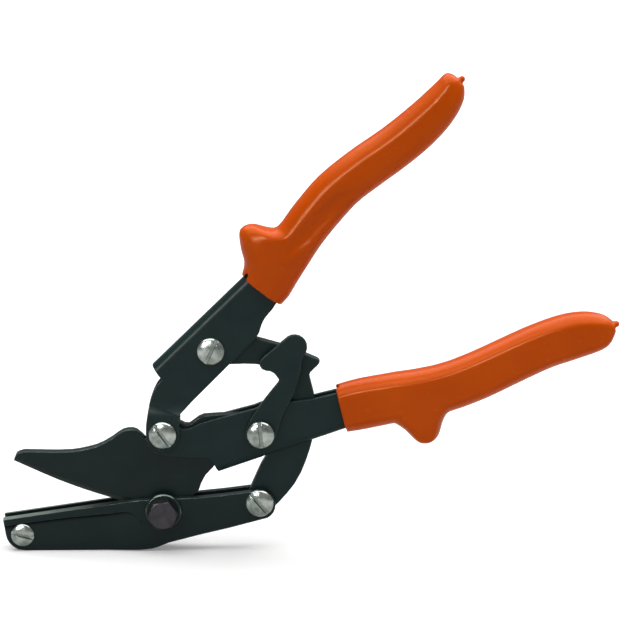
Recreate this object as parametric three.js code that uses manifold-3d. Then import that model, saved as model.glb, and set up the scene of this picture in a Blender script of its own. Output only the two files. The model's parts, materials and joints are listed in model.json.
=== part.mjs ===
// Double-cut aviation snips, standing open on edge: one upper blade that passes between two lower
// blades, worked by compound-leverage handles.
// Millimetres. +X runs from the blade tips to the grips, +Z is up, and -Y is the front, where the
// screw heads and the latch are. The origin is on the main pivot's axis, at the front of the bolt's
// head. The pieces are drawn about the snips' middle plane, and the whole is moved back at the end.
import * as THREE from "three";
import { LoftGeometry } from "three/addons/geometries/LoftGeometry.js";
import { mergeVertices } from "three/addons/utils/BufferGeometryUtils.js";
import Module from "manifold-3d";

const wasm = await Module();
wasm.setup();

// ---- driving dimensions -------------------------------------------------------------------------

// Pivot centres, as [x, z].
const MAIN_PIVOT = [0, 0];
const HANDLE_PIVOT = [0, 32.7];
const LINK_TOP = [20, 67.7];
const LATCH_PIVOT = [40.3, 33.1];
const LINK_BOTTOM = [39.8, 3.5];
const JAW_TIP = [-58.5, -10.5];

// Layers, as distances from the middle plane. Each moving pair keeps the running gap between them.
const RUNNING_GAP = 0.2;
const CORE_HALF = 2.3;
const PLATE_INNER = CORE_HALF + RUNNING_GAP;
const CHANNEL_THICKNESS = 2;
const CHANNEL_OUTER = PLATE_INNER + CHANNEL_THICKNESS;
const JAW_THICKNESS = 3.2;
const JAW_OUTER = PLATE_INNER + JAW_THICKNESS;
const ARM_INNER = CHANNEL_OUTER + RUNNING_GAP;
const ARM_OUTER = ARM_INNER + CHANNEL_THICKNESS;

// Folded channels of the handles. CUT_SPAN is longer than the snips, for solids that only cut.
const FOLD_OUTER_RADIUS = 3.4;
const FOLD_INNER_RADIUS = FOLD_OUTER_RADIUS - CHANNEL_THICKNESS;
const LOWER_FOLD_CORNER = [22.9, 15.9];
const LOWER_FOLD_ANGLE = 19.3;
const UPPER_FOLD_CORNER = [-4.2, 61.1];
const UPPER_FOLD_ANGLE = 44.5;
const JOGGLE = { low: 41, high: 46.8, lean: 0.4 };
const CUT_SPAN = 480;

// Fasteners.
const EDGE_CHAMFER = 0.3;
const HEAD_GAP = 0.1;
const HOLE_CLEARANCE = 0.1;
const SCREW_SHANK = 2.5;
const SCREW_HEAD = { radius: 5.8, height: 2.7, rim: 0.7 };
const SMALL_SHANK = 2;
const SMALL_HEAD = { radius: 4.85, height: 2.2, rim: 0.6 };
const BOLT_SHANK = 3.15;
const BOLT_HEAD = { flats: 11.1, height: 6 };
const WASHER = { radius: 7.5, thickness: 1.6, chamfer: 0.5 };
const NUT = { flats: 9.5, height: 3.4 };
const SMALL_NUT = { flats: 7.6, height: 2.6 };
const MAIN_NUT = { flats: 11.1, height: 5 };
const SPRING_WASHER = { radius: 5.2, thickness: 0.5, chamfer: 0.1 };
const DRIVER_SLOT = { width: 1.5, depth: 1.3 };
const THREAD_PAST_NUT = 1;
const LINK_PLAY = 0.5;

// How far each head and nut is turned about its pivot, in degrees.
const TURNS = { bolt: -38, handle: 55, latch: 84, linkTop: -65, linkBottom: 50, tip: 14, nut: 10 };

// ---- helpers ------------------------------------------------------------------------------------

const radians = THREE.MathUtils.degToRad;
const point = ([x, z]) => new THREE.Vector2(x, z);

// Corner points joined by straight lines.
const corners = (...pairs) => pairs.map(point);

// A smooth curve through the pairs, as steps + 1 points.
function smooth(steps, ...pairs) {
  return new THREE.SplineCurve(pairs.map(point)).getPoints(steps);
}

// An arc about centre, from one angle to another in degrees, counter-clockwise if they rise.
function arc(centre, radius, from, to, steps) {
  const points = [];
  for (let i = 0; i <= steps; i++) {
    const angle = radians(from + ((to - from) * i) / steps);
    points.push(
      point([centre[0] + radius * Math.cos(angle), centre[1] + radius * Math.sin(angle)]),
    );
  }
  return points;
}

// A round hole as a closed outline.
const hole = (centre, radius) => arc(centre, radius, 0, 342, 19);

// A closed three.js geometry as a manifold-3d solid, turned outwards whichever way it was wound.
function solidOf(geometry) {
  geometry.deleteAttribute("normal");
  geometry.deleteAttribute("uv");
  const merged = mergeVertices(geometry, 1e-4);
  const index = merged.index.array;
  const faces = [];
  for (let i = 0; i < index.length; i += 3) {
    const [a, b, c] = [index[i], index[i + 1], index[i + 2]];
    if (a !== b && b !== c && c !== a) faces.push(a, b, c);
  }
  const build = (triVerts) =>
    new wasm.Manifold(
      new wasm.Mesh({
        numProp: 3,
        vertProperties: merged.attributes.position.array,
        triVerts: new Uint32Array(triVerts),
      }),
    );
  const made = build(faces);
  return made.volume() < 0 ? build(faces.reverse()) : made;
}

// A plate drawn in X and Z and thick along Y, with chamfered edges.
function plate(outline, holes, front, back, chamfer = 0) {
  const shape = new THREE.Shape(outline);
  shape.holes = holes.map((points) => new THREE.Path(points));
  const geometry = new THREE.ExtrudeGeometry(shape, {
    depth: back - front - 2 * chamfer,
    bevelEnabled: chamfer > 0,
    bevelSegments: 1,
    bevelThickness: chamfer,
    bevelSize: chamfer,
    bevelOffset: -chamfer,
  });
  geometry.rotateX(Math.PI / 2);
  geometry.translate(0, back - chamfer, 0);
  return solidOf(geometry);
}

// A solid turned about the Y axis, from [radius, y] pairs that start and end on the axis.
function turned(pairs, segments = 20) {
  return solidOf(new THREE.LatheGeometry(pairs.map(point), segments));
}

// A cylinder or hexagonal bar along Y.
function bar(radius, front, back, segments = 20) {
  const geometry = new THREE.CylinderGeometry(radius, radius, back - front, segments);
  geometry.translate(0, (front + back) / 2, 0);
  return solidOf(geometry);
}

function block(size, centre) {
  const geometry = new THREE.BoxGeometry(...size);
  geometry.translate(...centre);
  return solidOf(geometry);
}

// The solid as a named mesh with a material of its own.
function piece(name, solid, finish) {
  const made = solid.getMesh();
  const geometry = new THREE.BufferGeometry();
  const positions = new Float32Array(made.vertProperties);
  geometry.setAttribute("position", new THREE.BufferAttribute(positions, 3));
  geometry.setIndex(new THREE.BufferAttribute(new Uint32Array(made.triVerts), 1));
  geometry.computeVertexNormals();
  const mesh = new THREE.Mesh(geometry, new THREE.MeshStandardMaterial(finish));
  mesh.name = name;
  return mesh;
}

// Moves a fastener made about the Y axis to its pivot, turned by degrees about it.
function placed(mesh, pivot, turn = 0) {
  mesh.position.set(pivot[0], 0, pivot[1]);
  mesh.rotation.y = radians(turn);
  return mesh;
}

// ---- finishes -----------------------------------------------------------------------------------

const PAINTED = { color: 0x1d2b2a, roughness: 0.42, metalness: 0.15 };
const GROUND = { color: 0x26322f, roughness: 0.38, metalness: 0.4 };
const ZINC = { color: 0x9aa29c, roughness: 0.3, metalness: 1 };
const BLACKENED = { color: 0x33333a, roughness: 0.45, metalness: 0.7 };
const SPRING_STEEL = { color: 0x55595c, roughness: 0.35, metalness: 0.9 };
const VINYL = { color: 0xc8511b, roughness: 0.34, metalness: 0 };

// ---- folded channels ----------------------------------------------------------------------------

// An outline drawn square to Z and stretched along it, half on each side of its plane.
function endless(outline) {
  const geometry = new THREE.ExtrudeGeometry(new THREE.Shape(outline), {
    depth: CUT_SPAN,
    bevelEnabled: false,
  });
  geometry.translate(0, 0, -CUT_SPAN / 2);
  return geometry;
}

// The U section of a folded handle, endless along the fold. It opens along inward, a direction in
// X and Z, and its fold's outer face passes through corner.
function foldedSection(corner, inward) {
  const deep = 70;
  const front = [FOLD_OUTER_RADIUS - CHANNEL_OUTER, FOLD_OUTER_RADIUS];
  const rear = [CHANNEL_OUTER - FOLD_OUTER_RADIUS, FOLD_OUTER_RADIUS];
  const outline = [
    ...corners([-CHANNEL_OUTER, deep]),
    ...arc(front, FOLD_OUTER_RADIUS, 180, 270, 6),
    ...arc(rear, FOLD_OUTER_RADIUS, 270, 360, 6),
    ...corners([CHANNEL_OUTER, deep], [PLATE_INNER, deep]),
    ...arc(rear, FOLD_INNER_RADIUS, 0, -90, 4),
    ...arc(front, FOLD_INNER_RADIUS, 270, 180, 4),
    ...corners([-PLATE_INNER, deep]),
  ];
  const geometry = endless(outline);
  const across = new THREE.Vector3(0, 1, 0);
  const opening = new THREE.Vector3(inward[0], 0, inward[1]);
  const along = new THREE.Vector3().crossVectors(across, opening);
  geometry.applyMatrix4(new THREE.Matrix4().makeBasis(across, opening, along));
  geometry.translate(corner[0], 0, corner[1]);
  return solidOf(geometry);
}

const LOWER_UP = [-Math.sin(radians(LOWER_FOLD_ANGLE)), Math.cos(radians(LOWER_FOLD_ANGLE))];
const UPPER_DOWN = [Math.sin(radians(UPPER_FOLD_ANGLE)), -Math.cos(radians(UPPER_FOLD_ANGLE))];

// A point on the lower handle's fold, at x, raised by lift square to the fold.
function onLowerFold(x, lift = 0) {
  const rise = Math.tan(radians(LOWER_FOLD_ANGLE));
  const z = LOWER_FOLD_CORNER[1] + (x - LOWER_FOLD_CORNER[0]) * rise;
  return [x + lift * LOWER_UP[0], z + lift * LOWER_UP[1]];
}

// A point on the upper handle's fold, at x, lowered by drop square to the fold.
function onUpperFold(x, drop = 0) {
  const rise = Math.tan(radians(UPPER_FOLD_ANGLE));
  const z = UPPER_FOLD_CORNER[1] + (x - UPPER_FOLD_CORNER[0]) * rise;
  return [x + drop * UPPER_DOWN[0], z + drop * UPPER_DOWN[1]];
}

// ---- lower handle, the fixed body ---------------------------------------------------------------

const LOWER_TANG_START = [71, 49.7];
const LOWER_TANG_END = 150;
const LINK_SLOT = { from: 41, to: 79.5 };

// The part of the channel that the lower grip hides, grown by margin.
function lowerTang(margin) {
  return [
    ...corners(
      onLowerFold(LOWER_TANG_START[0], -margin),
      onLowerFold(LOWER_TANG_END + margin, -margin),
    ),
    ...smooth(
      8,
      [LOWER_TANG_END + margin, 72.6 + margin],
      [140, 68.4 + margin],
      [122, 60.6 + margin],
      [105, 56.4 + margin],
      [85, 52.8 + margin],
      [LOWER_TANG_START[0], LOWER_TANG_START[1] + margin],
    ),
  ];
}

function lowerHandleOutline() {
  return [
    ...arc(HANDLE_PIVOT, 6.2, 40, 150, 8),
    ...smooth(8, [-6.6, 32.4], [-6.9, 29.6], [-5.6, 26.4], [-2.6, 24.0], [2.9, 23.2], [9.1, 22.5]),
    ...smooth(6, [16.4, 22.7], [18.6, 22.4], [20.2, 21.0], [21.4, 18.8], LOWER_FOLD_CORNER),
    ...lowerTang(0),
    ...smooth(8, [61.9, 47.4], [53.3, 46.4], [46.5, 45.7], [41.4, 44.7], [37.6, 43.2]),
    ...smooth(6, [31.5, 41.5], [23.2, 39.3], [15.0, 36.9], [11.4, 34.9], [8.2, 34.5]),
  ];
}

function lowerHandleChannel() {
  const holes = [HANDLE_PIVOT, LATCH_PIVOT].map((at) => hole(at, SCREW_SHANK + HOLE_CLEARANCE));
  const sides = plate(lowerHandleOutline(), holes, -CHANNEL_OUTER, CHANNEL_OUTER);
  const slot = corners(
    onLowerFold(LINK_SLOT.from, -1),
    onLowerFold(LINK_SLOT.to, -1),
    onLowerFold(LINK_SLOT.to, FOLD_OUTER_RADIUS),
    onLowerFold(LINK_SLOT.from, FOLD_OUTER_RADIUS),
  );
  return sides
    .intersect(foldedSection(LOWER_FOLD_CORNER, LOWER_UP))
    .subtract(plate(slot, [], -PLATE_INNER, PLATE_INNER));
}

// ---- upper blade, fixed in the lower handle -----------------------------------------------------

const STRIP_DEPTH = 0.45;

function upperBladeOutline() {
  return [
    ...smooth(5, [-61.2, 22.5], [-60.3, 23.7], [-57.5, 24.6]),
    ...smooth(
      14,
      [-47.2, 24.4],
      [-39.0, 24.5],
      [-33.0, 25.4],
      [-26.5, 27.2],
      [-21.1, 30.3],
      [-17.0, 33.2],
      [-13.4, 34.0],
      [-10.4, 33.2],
      [-7.2, 30.0],
    ),
    ...arc(HANDLE_PIVOT, 6, 190, 62, 8),
    ...smooth(8, [7.6, 36.9], [10.2, 35.9], [12.6, 37.3], [14.8, 39.0], [18.5, 40.1], [31.3, 40.6]),
    ...arc(LATCH_PIVOT, 6, 80, -60, 8),
    ...smooth(8, [35.6, 24.6], [27.0, 21.4], [22.6, 19.6], [20.0, 17.2], [16.6, 13.2], [14.6, 8.0]),
    ...arc(MAIN_PIVOT, 11.5, 20, -125, 12),
    ...smooth(10, [-13.0, 1.9], [-24.0, 5.4], [-32.6, 8.2], [-44.1, 12.6], [-55.6, 17.8], [-61.9, 20.7]),
  ];
}

// The ground strip beside the cutting edge, set back a little from the blade's flank.
function groundStrip(front, back) {
  const strip = [
    ...smooth(10, [-63, 23.3], [-57.2, 20.5], [-47.4, 16.1], [-35, 11.5], [-24, 7.6], [-12, 3.9]),
    ...corners([-14, -4], [-70, 18]),
  ];
  return plate(strip, [], front, back);
}

function upperBlade() {
  const holes = [
    hole(MAIN_PIVOT, BOLT_SHANK + HOLE_CLEARANCE),
    hole(HANDLE_PIVOT, SCREW_SHANK + HOLE_CLEARANCE),
    hole(LATCH_PIVOT, SCREW_SHANK + HOLE_CLEARANCE),
  ];
  const face = CORE_HALF - STRIP_DEPTH;
  return plate(upperBladeOutline(), holes, -CORE_HALF, CORE_HALF, EDGE_CHAMFER)
    .subtract(groundStrip(-CORE_HALF - 1, -face))
    .subtract(groundStrip(face, CORE_HALF + 1));
}

// ---- upper handle -------------------------------------------------------------------------------

const UPPER_TANG_END = 78;

// The part of the channel that the upper grip hides, grown by margin, with its fold side moved by drop.
function upperTang(margin, drop = 0) {
  return [
    ...smooth(
      6,
      [47.0 + margin, 88.0],
      [51.2 + margin, 96.4],
      [61.8 + margin, 114.0],
      [71.0 + margin, 125.6],
      [UPPER_TANG_END + margin, 132.4],
    ),
    ...corners(onUpperFold(UPPER_TANG_END + margin, drop)),
  ];
}

function upperHandleOutline() {
  return [
    ...corners(UPPER_FOLD_CORNER),
    ...smooth(8, [-0.2, 55.4], [-2.6, 52.4], [-4.6, 47.8], [-5.9, 43.1], [-6.8, 37.0]),
    ...arc(HANDLE_PIVOT, 6.9, 180, 360, 14),
    ...corners([6.9, 41.0], [38.6, 73.4]),
    ...smooth(6, [39.9, 75.6], [40.8, 78.7], [42.3, 81.7], [45.2, 85.2]),
    ...upperTang(0),
  ];
}

// One of the two arms that spread to straddle the lower handle, seen from the end and endless in X.
function spreadArm(side) {
  const top = 90;
  const low = -20;
  const outline = corners(
    [side * PLATE_INNER, top],
    [side * PLATE_INNER, JOGGLE.high + JOGGLE.lean],
    [side * ARM_INNER, JOGGLE.low + JOGGLE.lean],
    [side * ARM_INNER, low],
    [side * ARM_OUTER, low],
    [side * ARM_OUTER, JOGGLE.low - JOGGLE.lean],
    [side * CHANNEL_OUTER, JOGGLE.high - JOGGLE.lean],
    [side * CHANNEL_OUTER, top],
  );
  const geometry = endless(outline);
  const across = new THREE.Vector3(0, 1, 0);
  const up = new THREE.Vector3(0, 0, 1);
  const along = new THREE.Vector3(1, 0, 0);
  geometry.applyMatrix4(new THREE.Matrix4().makeBasis(across, up, along));
  return solidOf(geometry);
}

function upperHandleChannel() {
  const holes = [HANDLE_PIVOT, LINK_TOP].map((at) => hole(at, SCREW_SHANK + HOLE_CLEARANCE));
  const sides = plate(upperHandleOutline(), holes, -ARM_OUTER, ARM_OUTER);
  const split = JOGGLE.high + 4;
  const overlap = 0.01;
  const cut = [CUT_SPAN, CUT_SPAN, CUT_SPAN];
  const upper = sides
    .intersect(foldedSection(UPPER_FOLD_CORNER, UPPER_DOWN))
    .intersect(block(cut, [0, 0, split + CUT_SPAN / 2]));
  const arms = sides
    .intersect(spreadArm(-1).add(spreadArm(1)))
    .intersect(block(cut, [0, 0, split + overlap - CUT_SPAN / 2]));
  return upper.add(arms);
}

// ---- lower jaw, two blades bolted side by side --------------------------------------------------

const RECESS_DEPTH = 0.9;
const RUN_OUT = { from: -24, to: -9 };
const LAND = { start: [-40, 0.45], rise: 8.6, drop: 8, long: 90 };

function lowerBladeOutline() {
  return [
    ...corners([-66.7, -2.6], [-24.6, 3.0], [-10, 4.6], [6, 5.4], [14.8, 5.8], [25.1, 6.9]),
    ...arc([40.1, 2.5], 6.3, 98, -62, 10),
    ...corners([27.1, -7.4], [14.7, -10.4]),
    ...smooth(6, [2.0, -13.8], [-1.4, -15.2], [-5.0, -16.4], [-10.3, -16.9]),
    ...smooth(8, [-57.0, -17.3], [-60.5, -16.8], [-63.2, -15.0], [-65.1, -12.2], [-65.9, -8.2]),
  ];
}

// Cuts the sloping land that leaves the inner top edge sharp and runs out near the pivot.
function landCutter() {
  const along = new THREE.Vector3(1, 0, Math.tan(radians(LAND.rise))).normalize();
  const slope = radians(LAND.drop);
  const down = new THREE.Vector3(0, Math.cos(slope), Math.sin(slope));
  down.addScaledVector(along, -down.dot(along)).normalize();
  const normal = new THREE.Vector3().crossVectors(along, down);
  const [wide, high] = [24, 6];
  const geometry = new THREE.BoxGeometry(LAND.long, wide, high);
  geometry.translate(0, 0, high / 2);
  geometry.applyMatrix4(new THREE.Matrix4().makeBasis(along, down, normal));
  geometry.translate(LAND.start[0], -PLATE_INNER, LAND.start[1]);
  return solidOf(geometry);
}

// The sunk panel of the outer face, below the cutting edge's thicker band. Its floor rises to the
// face as it nears the pivot, and runs out there.
function recessCutter() {
  const tip = -75;
  const outside = -JAW_OUTER - 1;
  const floor = -JAW_OUTER + RECESS_DEPTH;
  const panel = [
    ...corners([tip, -8.4], [-65.7, -6.7], [-55.0, -4.9], [-39.1, -2.8], [-22.5, -1.2]),
    ...smooth(8, [-16.3, -0.4], [-12.8, -1.0], [-10.2, -3.4], [-8.6, -8.0], [-8, -30]),
    ...corners([tip, -30]),
  ];
  const seenFromAbove = corners(
    [tip, outside],
    [RUN_OUT.to, outside],
    [RUN_OUT.to, -JAW_OUTER],
    [RUN_OUT.from, floor],
    [tip, floor],
  );
  return plate(panel, [], outside, floor).intersect(solidOf(endless(seenFromAbove)));
}

// The front lower blade. The rear one is its mirror image.
function frontLowerBlade() {
  const holes = [
    hole(MAIN_PIVOT, BOLT_SHANK + HOLE_CLEARANCE),
    hole(LINK_BOTTOM, SCREW_SHANK + HOLE_CLEARANCE),
    hole(JAW_TIP, SMALL_SHANK + HOLE_CLEARANCE),
  ];
  const inner = -PLATE_INNER + EDGE_CHAMFER;
  return plate(lowerBladeOutline(), holes, -JAW_OUTER, inner, EDGE_CHAMFER)
    .intersect(block([CUT_SPAN, JAW_OUTER, CUT_SPAN], [0, -PLATE_INNER - JAW_OUTER / 2, 0]))
    .subtract(landCutter())
    .subtract(recessCutter());
}

// ---- drive link ---------------------------------------------------------------------------------

function driveLinkOutline() {
  return [
    ...arc(LINK_TOP, 5.7, 300, 84, 14),
    ...corners([38.1, 72.8], [48.0, 70.0], [59.0, 65.8]),
    ...smooth(4, [63.6, 63.8], [64.7, 62.7], [63.8, 61.2]),
    ...smooth(4, [60.9, 58.3], [60.4, 57.0], [60.8, 54.8], [62.2, 49.2]),
    ...smooth(
      10,
      [62.6, 44.0],
      [62.5, 36.0],
      [61.6, 29.3],
      [58.9, 20.4],
      [55.3, 12.3],
      [50.0, 5.2],
      [45.4, 0.4],
    ),
    ...arc(LINK_BOTTOM, 5.7, -45, -210, 10),
    ...smooth(
      12,
      [36.2, 9.6],
      [41.7, 21.8],
      [47.2, 30.6],
      [49.6, 39.0],
      [49.7, 48.4],
      [48.0, 54.8],
      [45.2, 58.8],
      [41.0, 61.2],
      [36.0, 61.8],
      [27.6, 61.6],
    ),
  ];
}

// The bottom hole has the play that lets the handles' four-bar linkage close.
function driveLink() {
  const holes = [
    hole(LINK_TOP, SCREW_SHANK + HOLE_CLEARANCE),
    hole(LINK_BOTTOM, SCREW_SHANK + LINK_PLAY),
  ];
  return plate(driveLinkOutline().reverse(), holes, -CORE_HALF, CORE_HALF, EDGE_CHAMFER);
}

// ---- latch --------------------------------------------------------------------------------------

const LATCH_KNOB = [54.3, 69.9];

function latchOutline() {
  return [
    ...arc(LATCH_PIVOT, 6.5, 150, 345, 12),
    ...smooth(8, [49.2, 41.0], [53.7, 49.4], [55.4, 54.6], [56.6, 59.6], [57.3, 64.2]),
    ...arc(LATCH_KNOB, 5.2, -40, 140, 10),
    ...corners([40.9, 65.2]),
    ...smooth(6, [40.0, 63.8], [40.1, 61.8], [41.5, 60.2], [43.6, 59.8], [45.5, 59.3], [48.0, 56.2]),
    ...smooth(4, [47.5, 55.0], [44.6, 51.4], [40.8, 46.4], [36.8, 40.8]),
  ];
}

function latch() {
  const holes = [hole(LATCH_PIVOT, SCREW_SHANK + HOLE_CLEARANCE)];
  return plate(latchOutline(), holes, -ARM_OUTER, -ARM_INNER, EDGE_CHAMFER);
}

// ---- return spring ------------------------------------------------------------------------------

// A bent leaf in the upper handle's channel: one leg lies along the fold, the other on the link.
function returnSpring() {
  const thick = 0.8;
  const half = 1.9;
  const depth = 3;
  const bend = { centre: [18.4, 76.1], radius: 1.9 };
  const [upperEnd, lowerEnd] = [26, 33];
  const path = [
    ...corners(onUpperFold(upperEnd, depth)),
    ...arc(bend.centre, bend.radius, 90 + UPPER_FOLD_ANGLE, 270, 7),
    ...corners([lowerEnd, bend.centre[1] - bend.radius]),
  ];
  const left = [];
  const right = [];
  path.forEach((here, i) => {
    const before = path[Math.max(i - 1, 0)];
    const after = path[Math.min(i + 1, path.length - 1)];
    const run = after.clone().sub(before).normalize();
    const side = new THREE.Vector2(-run.y, run.x).multiplyScalar(thick / 2);
    left.push(here.clone().add(side));
    right.unshift(here.clone().sub(side));
  });
  return plate([...left, ...right], [], -half, half);
}

// ---- grips --------------------------------------------------------------------------------------

const GRIP_STEPS = 70;
const GRIP_SECTION = { power: 2.2, steps: 10 };
const UPPER_CROWN = 1.06;
const LOWER_CROWN = 1.2;
const NIB = { radius: 1.4, upper: [122.0, 179.7], lower: [186.3, 78.2] };

// One section's outline as [across, along] shares of its half width and half height: an oval whose
// two sides are cut flat, which leaves a soft ridge along each corner. Crown is the width of the
// whole oval over the width that is left.
function gripSection(crown) {
  const { power, steps } = GRIP_SECTION;
  const ridge = Math.acos(crown ** (-power / 2));
  const shares = [];
  for (const start of [0, Math.PI]) {
    for (let i = 0; i <= steps; i++) {
      const angle = start + ridge + ((Math.PI - 2 * ridge) * i) / steps;
      const [across, along] = [Math.cos(angle), Math.sin(angle)].map(
        (share) => Math.sign(share) * Math.abs(share) ** (2 / power),
      );
      shares.push([crown * across, along]);
    }
  }
  return shares;
}

// A moulding between two edge curves, with its half width in Y from the widths curve.
function moulding(first, second, widths, crown, steps = GRIP_STEPS) {
  const edges = [first, second].map((pairs) => new THREE.SplineCurve(pairs.map(point)));
  const spread = new THREE.SplineCurve(widths.map((width, i) => point([i, width])));
  const shares = gripSection(crown);
  const sections = [];
  for (let i = 0; i <= steps; i++) {
    const [a, b] = edges.map((edge) => edge.getPoint(i / steps));
    const middle = a.clone().add(b).multiplyScalar(0.5);
    const reach = a.clone().sub(b).multiplyScalar(0.5);
    const width = spread.getPoint(i / steps).y;
    sections.push(
      shares.map(([across, along]) => {
        const [x, z] = [middle.x + reach.x * along, middle.y + reach.y * along];
        return new THREE.Vector3(x, width * across, z);
      }),
    );
  }
  return solidOf(new LoftGeometry(sections, { capStart: true, capEnd: true }));
}

// The nib left where the mould was filled.
function fillNib([x, z]) {
  const ball = new THREE.SphereGeometry(NIB.radius, 12, 8);
  ball.translate(x, 0, z);
  return solidOf(ball);
}

const UPPER_GRIP_OUTER = [
  [32.7, 98.8],
  [33.7, 104.2],
  [32.1, 111.0],
  [31.9, 117.6],
  [36.4, 120.1],
  [42.4, 118.5],
  [47.2, 118.9],
  [54.1, 128.1],
  [63.7, 139.5],
  [76.2, 149.9],
  [89.7, 159.4],
  [101.5, 169.0],
  [110.8, 177.6],
  [115.6, 182.2],
  [119.5, 180.8],
];
const UPPER_GRIP_INNER = [
  [48.8, 86.4],
  [52.0, 89.9],
  [55.1, 95.1],
  [58.1, 100.0],
  [60.7, 104.2],
  [63.3, 108.4],
  [66.5, 113.1],
  [72.3, 120.4],
  [80.2, 129.2],
  [89.4, 136.4],
  [99.4, 143.8],
  [109.6, 152.4],
  [118.0, 161.8],
  [122.8, 170.8],
  [123.0, 176.8],
];
const UPPER_GRIP_WIDTHS = [6.9, 7.3, 7.9, 8.2, 8.3, 8.2, 8.0, 8.0, 8.1, 8.1, 8.0, 7.8, 7.3, 6.2, 4.2];

const LOWER_GRIP_TOP = [
  [71.0, 52.3],
  [80.0, 54.9],
  [89.6, 56.7],
  [96.4, 57.9],
  [101.6, 58.6],
  [107.0, 59.6],
  [112.0, 60.7],
  [118.4, 62.7],
  [127.6, 66.5],
  [138.3, 71.6],
  [150.6, 77.3],
  [163.0, 81.8],
  [173.0, 83.3],
  [181.2, 81.9],
  [185.5, 78.5],
];
const LOWER_GRIP_BOTTOM = [
  [75.9, 32.6],
  [82.6, 33.7],
  [91.0, 35.5],
  [98.0, 37.0],
  [102.5, 37.9],
  [107.0, 38.7],
  [111.5, 39.7],
  [116.8, 41.0],
  [124.6, 43.6],
  [134.9, 47.9],
  [147.3, 54.1],
  [159.9, 60.1],
  [171.5, 64.1],
  [182.6, 68.7],
  [186.1, 75.4],
];
const LOWER_GRIP_WIDTHS = [6.9, 7.4, 7.9, 8.2, 8.3, 8.3, 8.2, 8.1, 8.2, 8.3, 8.3, 8.1, 7.6, 6.4, 4.2];

// The finger guard below the lower grip.
const GUARD_FRONT = [
  [92.0, 45.0],
  [92.6, 40.0],
  [95.8, 36.6],
  [99.3, 34.2],
  [101.9, 31.6],
  [104.2, 29.4],
  [106.4, 28.3],
];
const GUARD_BACK = [
  [121.0, 47.0],
  [119.2, 43.0],
  [116.6, 39.8],
  [115.1, 35.8],
  [114.1, 32.1],
  [112.3, 29.7],
  [109.8, 28.4],
];
const GUARD_WIDTHS = [8.2, 8.2, 8.1, 7.8, 7.2, 6.2, 4.4];
const GUARD_STEPS = 24;

const SCOOP = { centre: [64.4, 122], slope: 46, long: 26, wide: 6, deep: 5, out: 11.3 };

const POCKET_GAP = 0.3;
const POCKET_HALF = CHANNEL_OUTER + POCKET_GAP;
const UPPER_MOUTH = { fold: 30, open: [44, 84] };
const LOWER_MOUTH = 60;
const SPUR_SLOT = { to: 72.6, low: 45, high: 62, half: 2.5 };

// The long scoop in each side of the upper grip, above the thumb stop.
function scoop(side) {
  const geometry = new THREE.SphereGeometry(1, 28, 18);
  geometry.scale(SCOOP.long, SCOOP.deep, SCOOP.wide);
  geometry.rotateY(-radians(SCOOP.slope));
  geometry.translate(SCOOP.centre[0], side * SCOOP.out, SCOOP.centre[1]);
  return solidOf(geometry);
}

function upperGrip() {
  const pocket = [
    ...corners(onUpperFold(UPPER_MOUTH.fold, -POCKET_GAP), UPPER_MOUTH.open),
    ...upperTang(POCKET_GAP, -POCKET_GAP),
  ];
  return moulding(UPPER_GRIP_OUTER, UPPER_GRIP_INNER, UPPER_GRIP_WIDTHS, UPPER_CROWN)
    .add(fillNib(NIB.upper))
    .subtract(plate(pocket, [], -POCKET_HALF, POCKET_HALF))
    .subtract(scoop(-1))
    .subtract(scoop(1));
}

// The slot over the pocket takes the drive link's elbow as the handles close.
function lowerGrip() {
  const { to, low, high, half } = SPUR_SLOT;
  const pocket = [
    ...lowerTang(POCKET_GAP),
    ...corners([LOWER_MOUTH, LOWER_TANG_START[1] + POCKET_GAP]),
    ...corners(onLowerFold(LOWER_MOUTH, -POCKET_GAP)),
  ];
  const slot = corners([LOWER_MOUTH, low], [to, low], [to, high], [LOWER_MOUTH, high]);
  return moulding(LOWER_GRIP_TOP, LOWER_GRIP_BOTTOM, LOWER_GRIP_WIDTHS, LOWER_CROWN)
    .add(moulding(GUARD_BACK, GUARD_FRONT, GUARD_WIDTHS, LOWER_CROWN, GUARD_STEPS))
    .add(fillNib(NIB.lower))
    .subtract(plate(pocket, [], -POCKET_HALF, POCKET_HALF))
    .subtract(plate(slot, [], -half, half));
}

// ---- fasteners ----------------------------------------------------------------------------------

// A slotted dome-head screw along Y. The head's seat faces back at seat; the shank ends at end.
function slottedScrew(head, shank, seat, end) {
  const crown = seat - head.height;
  const dome = [];
  const steps = 4;
  for (let i = 0; i <= steps; i++) {
    const angle = (Math.PI / 2) * (i / steps);
    dome.push([
      head.radius * Math.cos(angle),
      seat - head.rim - (head.height - head.rim) * Math.sin(angle),
    ]);
  }
  dome[steps][0] = 0;
  const tip = 0.4;
  const profile = [[0, end], [shank - tip, end], [shank, end - tip], [shank, seat]];
  const slot = [3 * head.radius, 2 * DRIVER_SLOT.depth, DRIVER_SLOT.width];
  return turned([...profile, [head.radius, seat], ...dome]).subtract(block(slot, [0, crown, 0]));
}

// A hexagonal bar along Y whose corners are turned down at its front or back.
function hexagon(flats, front, back, turnedFront, turnedBack) {
  const corner = flats / Math.sqrt(3);
  const outside = corner + 0.05;
  const [cutIn, cutDown] = [flats / 2 - 0.1, 0.75];
  const frontCut = [[cutIn, front], [outside, front + cutDown]];
  const backCut = [[outside, back - cutDown], [cutIn, back]];
  const profile = [
    [0, front],
    ...(turnedFront ? frontCut : [[outside, front]]),
    ...(turnedBack ? backCut : [[outside, back]]),
    [0, back],
  ];
  return bar(corner, front, back, 6).intersect(turned(profile));
}

function hexNut(size, shank, seat) {
  const back = seat + size.height;
  const bore = bar(shank + 0.05, seat - 1, back + 1);
  return hexagon(size.flats, seat, back, false, true).subtract(bore);
}

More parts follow.
